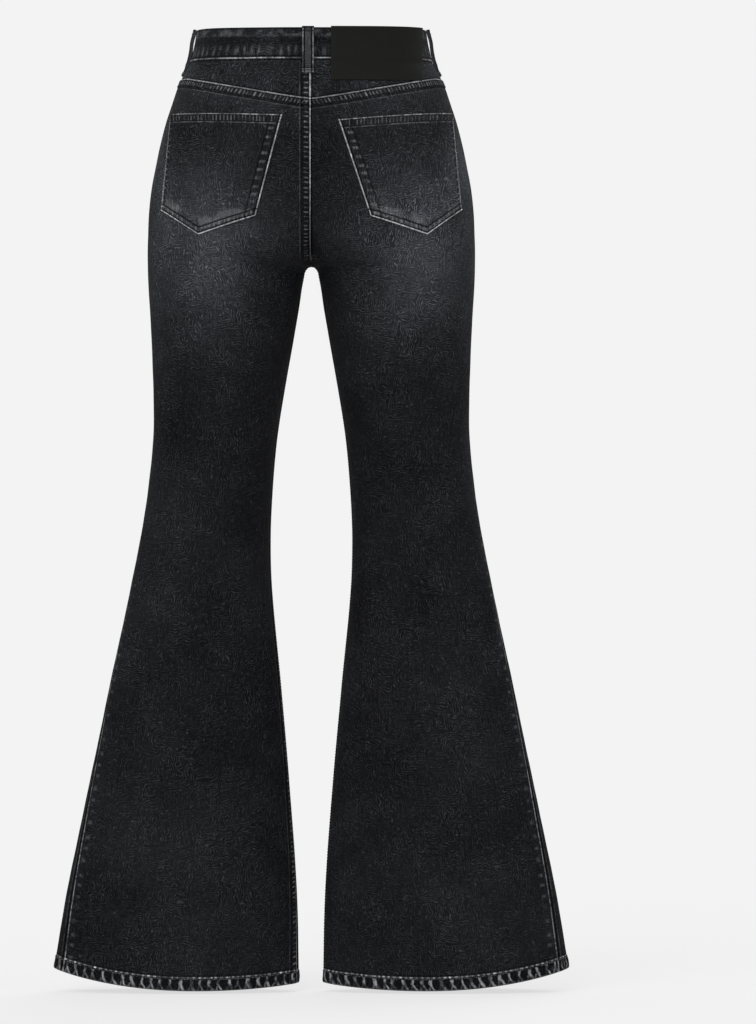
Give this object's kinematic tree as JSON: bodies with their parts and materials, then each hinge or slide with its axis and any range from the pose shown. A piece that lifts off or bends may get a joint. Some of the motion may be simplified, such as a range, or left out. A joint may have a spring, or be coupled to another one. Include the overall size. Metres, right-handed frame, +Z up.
{
  "type": "flared jeans",
  "caption": "High-waisted flared jeans in washed black denim, in the hollow form they have when worn, with yoke, patch pockets, belt loops and wide hems.",
  "frame": {"origin": "centre of the waist opening, level with the waistband's top edge at the centre back", "axes": "+Z up, -Y towards the front of the garment, +X towards the wearer's left"},
  "size_m": [0.5916, 0.2319, 1.1022],
  "materials": {
    "denim": "washed black twill, matt",
    "patch": "plain black, satin",
    "button_metal": "dark antique metal"
  },
  "bodies": {
    "root": {"front_left": "denim", "back_left": "denim", "yoke_left": "denim", "pocket_facing_left": "denim", "pocket_back_left": "denim", "belt_loop_side_left": "denim", "belt_loop_front_left": "denim", "front_right": "denim", "back_right": "denim", "yoke_right": "denim", "pocket_facing_right": "denim", "pocket_back_right": "denim", "belt_loop_side_right": "denim", "belt_loop_front_right": "denim", "waistband": "denim", "belt_loop_back": "denim", "label_patch": "patch", "waist_button": "button_metal"}
  },
  "joints": []
}
